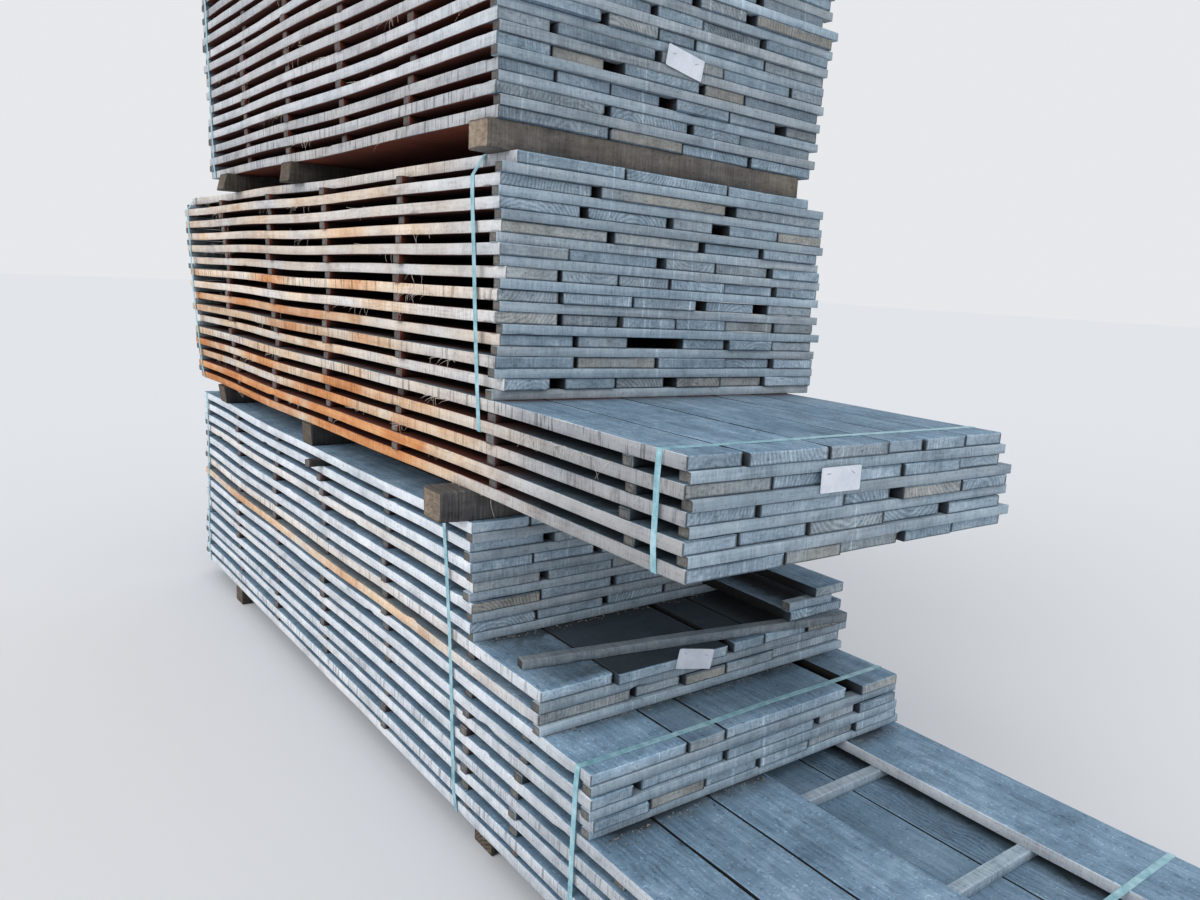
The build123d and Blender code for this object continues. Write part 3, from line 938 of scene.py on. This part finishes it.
def make_boards(node, seed, warm_base, umber, tones, depth, soil_and_shade, near_shade, covering):
    rng = np.random.default_rng(seed)
    pile = Pile()
    rows = rows_of(solids(node))
    above = []
    if covering:
        above = [(c.min(0), c.max(0)) for c in rows_of(solids(covering))[-1]]
    for number, row in enumerate(rows):
        lows = [c.min(0) for c in row]
        highs = [c.max(0) for c in row]
        row_left, row_right = min(p[0] for p in lows), max(p[0] for p in highs)
        foot = min((p[0][1] for p in above), default=NO_STEP)
        top_row = number == 0
        for index, (low, high) in enumerate(zip(lows, highs)):
            low, high = low.copy(), high.copy()
            low[1] += rng.uniform(0, NEAR_SET_BACK)
            high[1] -= rng.uniform(0, FAR_SET_BACK)
            length, width, thick = high[1] - low[1], high[0] - low[0], high[2] - low[2]
            gap_left = low[0] - highs[index - 1][0] if index else NO_NEIGHBOUR
            gap_right = lows[index + 1][0] - high[0] if index + 1 < len(row) else NO_NEIGHBOUR
            limit = WIDE_GAP if top_row else NO_NEIGHBOUR
            buried = (gap_left < limit, gap_right < limit)
            extra = [foot - low[1] + d for d in FOOT_STATIONS]
            points, faces, kinds, rim = plank(length, width, thick, rng, BOARD_CUT, buried, extra)
            bow = rng.uniform(-BOARD_BOW, BOARD_BOW) * np.sin(np.pi * points[:, 0] / length)
            world = np.stack([low[0] + points[:, 1] + bow, low[1] + points[:, 0], low[2] + points[:, 2]], 1)
            place = np.arange(len(points)) % RING
            from_near, from_far = world[:, 1] - low[1], high[1] - world[:, 1]

            # painted shade of each point between the rows, with soil, dirt and painted shade on what lies
            # open
            from_side = np.minimum(world[:, 0] - row_left, row_right - world[:, 0])
            inside = np.interp(from_side, (0, MARGIN, DARK_INSIDE), (depth / 2, depth, 1))
            on_top = np.isin(place, TOP)
            covered = covered_by(above, world)
            # dirt with painted shade at the foot of a step, painted shade in a recess, and soil with painted
            # shade on the inner deck boards
            foot_dirt_and_shade = FOOT_DIRT_AND_SHADE if top_row else RECESS_SHADE
            at_foot = foot_dirt_and_shade * smooth_step(world[:, 1], foot - FOOT_REACH, foot)
            dirt_and_shade = (soil_and_shade * (index > 0) + at_foot) * (covered < 0.9)
            beneath = smooth_step(from_near, *DARK_BENEATH) * smooth_step(from_far, *DARK_BENEATH)
            if number == len(rows) - 1 and node in OPEN_BELOW:
                beneath *= OPEN_UNDERSIDE
            hidden = inside * np.where(on_top, np.maximum(covered, dirt_and_shade), beneath)
            hidden *= 1 - NEAR_GAPS * (depth > 0) * (1 - sheltered(world))
            bare = (from_near < BARE_END) | (from_far < BARE_END)
            if gap_left >= limit:
                bare |= np.isin(place, LEFT_FACE)
            if gap_right >= limit:
                bare |= np.isin(place, RIGHT_FACE)
            hidden[bare] = 0
            arris = np.isin(place, (LOW_LEFT, TOP_LEFT)) & bare
            arris &= (from_near > LIGHT_ARRIS_END) & (from_far > LIGHT_ARRIS_END)
            hidden[arris] = ARRIS_HIDDEN * depth * np.where(on_top, covered, beneath)[arris]
            hidden[-2 * RING :] = 0

            # uncovered deck tops get bleach with a painted highlight on their end and seam arrises instead of
            # grime
            rim = np.where((rim >= RIM_END) & on_top & (covered < 0.5), RIM_OPEN_DECK, rim)
            on_side = np.isin(place, (*LEFT, *RIGHT))
            # painted shade: the sides darken towards the near end
            tone = rng.uniform(*tones) - near_shade * on_side * (1 - smooth_step(world[:, 1], *SHADE_FADES))
            # painted light: the open corner board's top is lighter
            if top_row and index == 0 and soil_and_shade:
                tone = tone + LIT_OPEN_CORNER * on_top
            brown = umber * sheltered(world) * np.where(on_top, covered, 1)
            warmth = board_warmth(rng, warm_base, number / max(len(rows) - 1, 1), world)
            values = carried_values(world, rng, tone, warmth, rim, hidden, brown, points[:, 1:])
            pile.add(world, [f[::-1] for f in faces], kinds, values)
            if index == 0 and depth:
                add_fuzz(pile, low, high, rng)
            if top_row and above and covering.startswith("bottom"):
                add_flakes(pile, low, high, above, rng)
        above = list(zip(lows, highs))
    pile.finish(node, "sawn_board", (deck, edge, end))


CROSSWISE_LOOKS = {"sticker": (stick_side, stick_side, stick_end), "bearer": (beam_side, beam_side, beam_end)}

# how much darker the bearers behind the nearest one are
SHADED_BEARER = 2.0

# stickers nearer than this along Y lie on an open deck
OPEN_DECK = -1.10

# cross pieces this close in height are of one level, and this close along Y to its end are outermost
SAME_LEVEL = 0.002
OUTERMOST = 0.02

# painted shade of a buried sticker, by the distance from its tip
TIP_PLACES, TIP_HIDDEN = (0.001, 0.006, 0.02), (0.3, 0.7, 1.0)
TIP_STATIONS = (0.006, 0.02)


def shows_whole(low, pieces, bare_level):
    """Whether a sticker shows: an outermost one of its level, or one above bare_level on the open deck."""
    places = [c[:, 1].min() for c in pieces if abs(c[:, 2].min() - low[2]) < SAME_LEVEL]
    if low[1] < min(places) + OUTERMOST or low[1] > max(places) - OUTERMOST:
        return True
    return bare_level is not None and low[2] > bare_level and low[1] < OPEN_DECK


def make_crosswise(node, seed, slot, cut, warm_range, umber, buried=False, bare_level=None, dim=0.0):
    """Stickers and bearers: sawn pieces that lie across the boards. dim: how much darker all of them are."""
    rng = np.random.default_rng(seed)
    pile = Pile()
    pieces = solids(node)
    nearest = min(c[:, 1].min() for c in pieces)
    for corners in pieces:
        low, high = corners.min(0), corners.max(0)
        length = high[0] - low[0]
        extra = [*TIP_STATIONS, *(length - d for d in TIP_STATIONS)]
        points, faces, kinds, rim = plank(length, high[1] - low[1], high[2] - low[2], rng, cut, extra=extra)
        world = low + points
        hidden = np.zeros(len(points))
        # painted shade inside the pack on a buried sticker
        if buried and not shows_whole(low, pieces, bare_level):
            from_tip = np.minimum(points[:, 0], length - points[:, 0])
            hidden = np.interp(from_tip, TIP_PLACES, TIP_HIDDEN)
            hidden[-2 * RING :] = 0
        tone = rng.random() - dim
        if slot == "bearer" and low[1] > nearest + OUTERMOST:
            tone -= SHADED_BEARER
        brown = umber * sheltered(world)
        values = carried_values(world, rng, tone, rng.uniform(*warm_range), rim, hidden, brown, points[:, 1:])
        pile.add(world, faces, kinds, values)
    pile.finish(node, slot, CROSSWISE_LOOKS[slot])


for board_node, board_values in BOARD_NODES.items():
    make_boards(board_node, *board_values)
make_crosswise("top_stickers", 11, "sticker", STICKER_CUT, (0.0, 0.4), 1.0, buried=True, dim=0.35)
make_crosswise("middle_stickers", 12, "sticker", STICKER_CUT, (0.0, 0.3), 1.0, buried=True, dim=0.1)
make_crosswise("bottom_stickers", 13, "sticker", STICKER_CUT, (0.0, 0.25), 0.4, buried=True, bare_level=0.24)
make_crosswise("outrunner_sticker", 14, "sticker", OUTRUNNER_CUT, (0.0, 0.3), 0.5)
make_crosswise("top_bearers", 21, "bearer", BEARER_CUT, (0.6, 0.9), 1.0)
make_crosswise("middle_bearers", 22, "bearer", BEARER_CUT, (0.0, 0.25), 0.5)
make_crosswise("ground_bearers", 23, "bearer", BEARER_CUT, (0.3, 0.6), 0.3)

LOOSE_SEED = 15
LOOSE_TONE, LOOSE_WARMTH, LOOSE_UMBER = -1.2, 0.25, 0.5
LOOSE_BOW = 0.004


def make_loose_sticker():
    """The sticker that lies askew on a deck keeps the direction of its solid's long side."""
    rng = np.random.default_rng(LOOSE_SEED)
    corners = solids("loose_sticker")[0]
    middle = (corners.min(0) + corners.max(0)) / 2
    flat = corners[:, :2] - middle[:2]
    far = flat[np.argmax(flat[:, 0] + 0.001 * flat[:, 1])]
    others = [p for p in flat if p[0] > 0 and np.linalg.norm(p - far) > 0.005]
    twin = min(others, key=lambda p: np.linalg.norm(p - far))
    tip = (far + twin) / 2
    length = 2 * np.linalg.norm(tip)
    width = np.linalg.norm(far - twin)
    thick = corners[:, 2].max() - corners[:, 2].min()
    ahead = tip / np.linalg.norm(tip)
    aside = np.array([-ahead[1], ahead[0]])
    points, faces, kinds, rim = plank(length, width, thick, rng, LOOSE_CUT)
    bow = LOOSE_BOW * np.sin(np.pi * points[:, 0] / length)
    plan = middle[:2] + np.outer(points[:, 0] - length / 2, ahead)
    plan += np.outer(points[:, 1] - width / 2 + bow, aside)
    world = np.column_stack([plan, corners[:, 2].min() + points[:, 2]])
    pile = Pile()
    values = carried_values(world, rng, LOOSE_TONE, LOOSE_WARMTH, rim, 0.0, LOOSE_UMBER, points[:, 1:])
    pile.add(world, faces, kinds, values)
    pile.finish("loose_sticker", "sticker", CROSSWISE_LOOKS["sticker"])


make_loose_sticker()


def hull(points):
    """Convex outline, anticlockwise."""
    ordered = sorted({(round(float(x), 5), round(float(z), 5)) for x, z in points})

    def half(sequence):
        chain = []
        for p in sequence:
            while len(chain) > 1:
                (ax, az), (bx, bz) = chain[-2], chain[-1]
                if (bx - ax) * (p[1] - az) - (bz - az) * (p[0] - ax) > 1e-9:
                    break
                chain.pop()
            chain.append(p)
        return chain[:-1]

    return np.array(half(ordered) + half(ordered[::-1]))


STRAP_THICK = 0.0011
STRAP_SHARP = 35
BEND_STEP = 0.03
WANDER, SHORT_WANDER = 0.003, 0.0012

# section of a strap: places across as shares of its width, and up as shares of its thickness
STRAP_ACROSS = (-0.5, -0.44, -0.2, 0.2, 0.44, 0.5, 0.44, -0.44)
STRAP_UP = (0.15, 1.0, 1.0, 1.0, 1.0, 0.15, 0.0, 0.0)


def make_strap(node, seed):
    """A flat band on the outline of its solid, with the small wander of one that was pulled by hand."""
    rng = np.random.default_rng(seed)
    points = np.array([v.co for v in nodes[node].data.vertices])
    slope, foot = np.polyfit(points[:, 2], points[:, 1], 1)
    wide = np.ptp(points[:, 1] - slope * points[:, 2])
    outline = hull(points[:, (0, 2)])
    path = []
    for a, b in zip(outline, np.roll(outline, -1, axis=0)):
        run = np.linalg.norm(b - a)
        pieces = max(int(run / BEND_STEP), 1)
        path += [a + (b - a) * i / pieces for i in range(pieces)]
    path = np.array(path)
    total = len(path)
    centre = path.mean(0)
    turn = np.roll(path, -1, axis=0) - np.roll(path, 1, axis=0)
    outward = np.column_stack([turn[:, 1], -turn[:, 0]])
    outward /= np.linalg.norm(outward, axis=1)[:, None]
    phase = rng.uniform(0, 2 * math.pi, 2)
    angle = np.arctan2(path[:, 1] - centre[1], path[:, 0] - centre[0])
    wander = WANDER * np.sin(angle + phase[0]) + SHORT_WANDER * np.sin(3 * angle + phase[1])
    middle = foot + slope * path[:, 1] + wander
    verts, faces = [], []
    for i in range(total):
        for across, up in zip(STRAP_ACROSS, STRAP_UP):
            x, z = path[i] + outward[i] * STRAP_THICK * (up - 1.0)
            verts.append((x, middle[i] + across * wide, z))
    count = len(STRAP_UP)
    for i in range(total):
        after = (i + 1) % total
        for j in range(count):
            k = (j + 1) % count
            faces.append((i * count + j, i * count + k, after * count + k, after * count + j))
    add_piece("band_" + node, node, (strap_look,), verts, faces, [0] * len(faces), STRAP_SHARP)


STRAP_NODES = (
    "bottom_near_strap",
    "bottom_step_3_strap",
    "bottom_step_4_strap",
    "bottom_far_strap",
    "middle_near_strap",
    "middle_step_strap",
    "middle_far_strap",
    "top_far_strap",
)
for strap_seed, strap_node in enumerate(STRAP_NODES, 31):
    make_strap(strap_node, strap_seed)

CARD_COLUMNS, CARD_ROWS = 24, 12
CARD_CORNER = 0.003
CARD_THICK, CARD_CLEAR = 0.0005, 0.0004
CARD_CURL, CARD_RIPPLE, RIPPLE_TURNS = 0.0088, 0.0006, (40, 9)
FLAT_SHARE = 0.55

# staples: places along and up the card as shares, lean, half length, half width, distance out and depth
STAPLE_PLACES, STAPLE_UP, STAPLE_LEAN = (-0.62, 0.62), (0.3, 0.6), 0.5
STAPLE_HALF, STAPLE_WIRE, STAPLE_OUT, STAPLE_DEPTH = 0.005, 0.0005, 0.0014, 0.0008
STAPLE_FACES = ((0, 1, 3, 2), (4, 6, 7, 5), (0, 4, 5, 1), (2, 3, 7, 6), (0, 2, 6, 4), (1, 5, 7, 3))


def card_grid(half_wide, half_tall):
    """Places (along, aside) and curl of a card's points, row by row, with its corners rounded."""
    grid = []
    for j in range(CARD_ROWS + 1):
        for i in range(CARD_COLUMNS + 1):
            a = half_wide * (2 * i / CARD_COLUMNS - 1)
            b = half_tall * (2 * j / CARD_ROWS - 1)
            over_a, over_b = abs(a) - half_wide + CARD_CORNER, abs(b) - half_tall + CARD_CORNER
            if over_a > 0 and over_b > 0 and math.hypot(over_a, over_b) > CARD_CORNER:
                pull = CARD_CORNER / math.hypot(over_a, over_b)
                a = math.copysign(half_wide - CARD_CORNER + over_a * pull, a)
                b = math.copysign(half_tall - CARD_CORNER + over_b * pull, b)
            bent = max(abs(a) / half_wide - FLAT_SHARE, 0) ** 2
            ripple = CARD_RIPPLE * math.sin(RIPPLE_TURNS[0] * a + RIPPLE_TURNS[1] * b)
            grid.append((a, b, CARD_CURL * bent + ripple))
    return grid


def card_faces(size):
    """Faces of both sides of a card and of its rim; the back's points follow the front's."""
    faces = []
    span = CARD_COLUMNS + 1
    for j in range(CARD_ROWS):
        for i in range(CARD_COLUMNS):
            a = j * span + i
            faces.append((a, a + span, a + span + 1, a + 1))
            faces.append((size + a, size + a + 1, size + a + span + 1, size + a + span))
    border = list(range(span))
    border += [j * span + CARD_COLUMNS for j in range(1, CARD_ROWS + 1)]
    border += [CARD_ROWS * span + i for i in range(CARD_COLUMNS - 1, -1, -1)]
    border += [j * span for j in range(CARD_ROWS - 1, 0, -1)]
    for a, b in zip(border, border[1:] + border[:1]):
        faces.append((a, b, size + b, size + a))
    return faces


def make_card(node, seed):
    """A blank card with rounded corners and a slight curl, held by two staples."""
    rng = np.random.default_rng(seed)
    points = np.array([v.co for v in nodes[node].data.vertices])
    back = points[:, 1].max()
    flat = hull(points[:, (0, 2)])
    edges = np.roll(flat, -1, axis=0) - flat
    longest = edges[np.argmax(np.linalg.norm(edges, axis=1))]
    ahead = longest / np.linalg.norm(longest)
    ahead = ahead * (1 if ahead[0] > 0 else -1)
    aside = np.array([-ahead[1], ahead[0]])
    middle = flat.mean(0)
    half_wide = np.abs((flat - middle) @ ahead).max()
    half_tall = np.abs((flat - middle) @ aside).max()
    grid = []
    for a, b, curl in card_grid(half_wide, half_tall):
        x, z = middle + ahead * a + aside * b
        grid.append((x, back - CARD_CLEAR - abs(curl), z))
    verts = grid + [(x, y - CARD_THICK, z) for x, y, z in grid]
    faces = card_faces(len(grid))
    kinds = [0] * len(faces)
    for share in STAPLE_PLACES:
        spot = middle + ahead * half_wide * share + aside * half_tall * rng.uniform(*STAPLE_UP)
        lean = rng.uniform(-STAPLE_LEAN, STAPLE_LEAN)
        along = ahead * math.cos(lean) + aside * math.sin(lean)
        upward = np.array([-along[1], along[0]])
        start = len(verts)
        for a, b, c in itertools.product((-1, 1), (-1, 1), (0, 1)):
            x, z = spot + along * a * STAPLE_HALF + upward * b * STAPLE_WIRE
            verts.append((x, back - STAPLE_OUT - STAPLE_DEPTH * c, z))
        faces += [tuple(start + v for v in face) for face in STAPLE_FACES]
        kinds += [1] * len(STAPLE_FACES)
    add_piece("blank_" + node, node, (card_look, staple_look), verts, faces, kinds)


for card_seed, card_node in enumerate(("bottom_card", "middle_card", "top_card"), 51):
    make_card(card_node, card_seed)

PALE = (0.80, 0.81, 0.83, 1)
SKY = (0.93, 0.96, 1.0, 1)
SKY_LEVEL = 0.72
FLOOR_HALF = 60
FLOOR_ROUGHNESS = 0.95


def make_floor():
    mesh = bpy.data.meshes.new("floor")
    corners = [(FLOOR_HALF * x, FLOOR_HALF * y, 0) for x, y in ((-1, -1), (1, -1), (1, 1), (-1, 1))]
    mesh.from_pydata(corners, [], [(0, 1, 2, 3)])
    tree = Tree(bpy.data.materials.new("floor"))
    mesh.materials.append(tree.surface(PALE, FLOOR_ROUGHNESS, Specular_IOR_Level=0.0))
    floor = new_object("floor", mesh)


def make_world():
    """Soft light on the stack, and a pale backdrop for the camera and for reflections."""
    tree = Tree(bpy.data.worlds.new("world"))
    bpy.context.scene.world = tree.owner
    soft = tree.nodes["Background"]
    tree.put(soft.inputs["Color"], SKY)
    tree.put(soft.inputs["Strength"], SKY_LEVEL)
    shown = tree.add("Background", 0, {"Color": PALE, "Strength": 1.0})
    rays = tree.nodes.new("ShaderNodeLightPath").outputs
    seen = tree.math("MAXIMUM", rays["Is Camera Ray"], rays["Is Glossy Ray"])
    chosen = tree.add("MixShader", 0, {0: seen, 1: soft.outputs[0], 2: shown})
    tree.put(tree.nodes["World Output"].inputs["Surface"], chosen)


def make_lamp(name, direction, power, spread, colour):
    """A very soft lamp far away; direction is where its light goes."""
    data = bpy.data.lights.new(name, "SUN")
    data.energy = power
    data.angle = math.radians(spread)
    data.color = colour
    lamp = new_object(name, data)
    lamp.rotation_mode = "QUATERNION"
    lamp.rotation_quaternion = Vector(direction).to_track_quat("-Z", "Y")


make_floor()
make_world()
make_lamp("key", (1.0, 0.12, -0.62), 1.25, 50, (1.0, 0.98, 0.96))
make_lamp("front", (0.25, 1.0, -0.9), 0.35, 60, (0.97, 0.99, 1.0))
bpy.context.scene.view_settings.view_transform = "Standard"
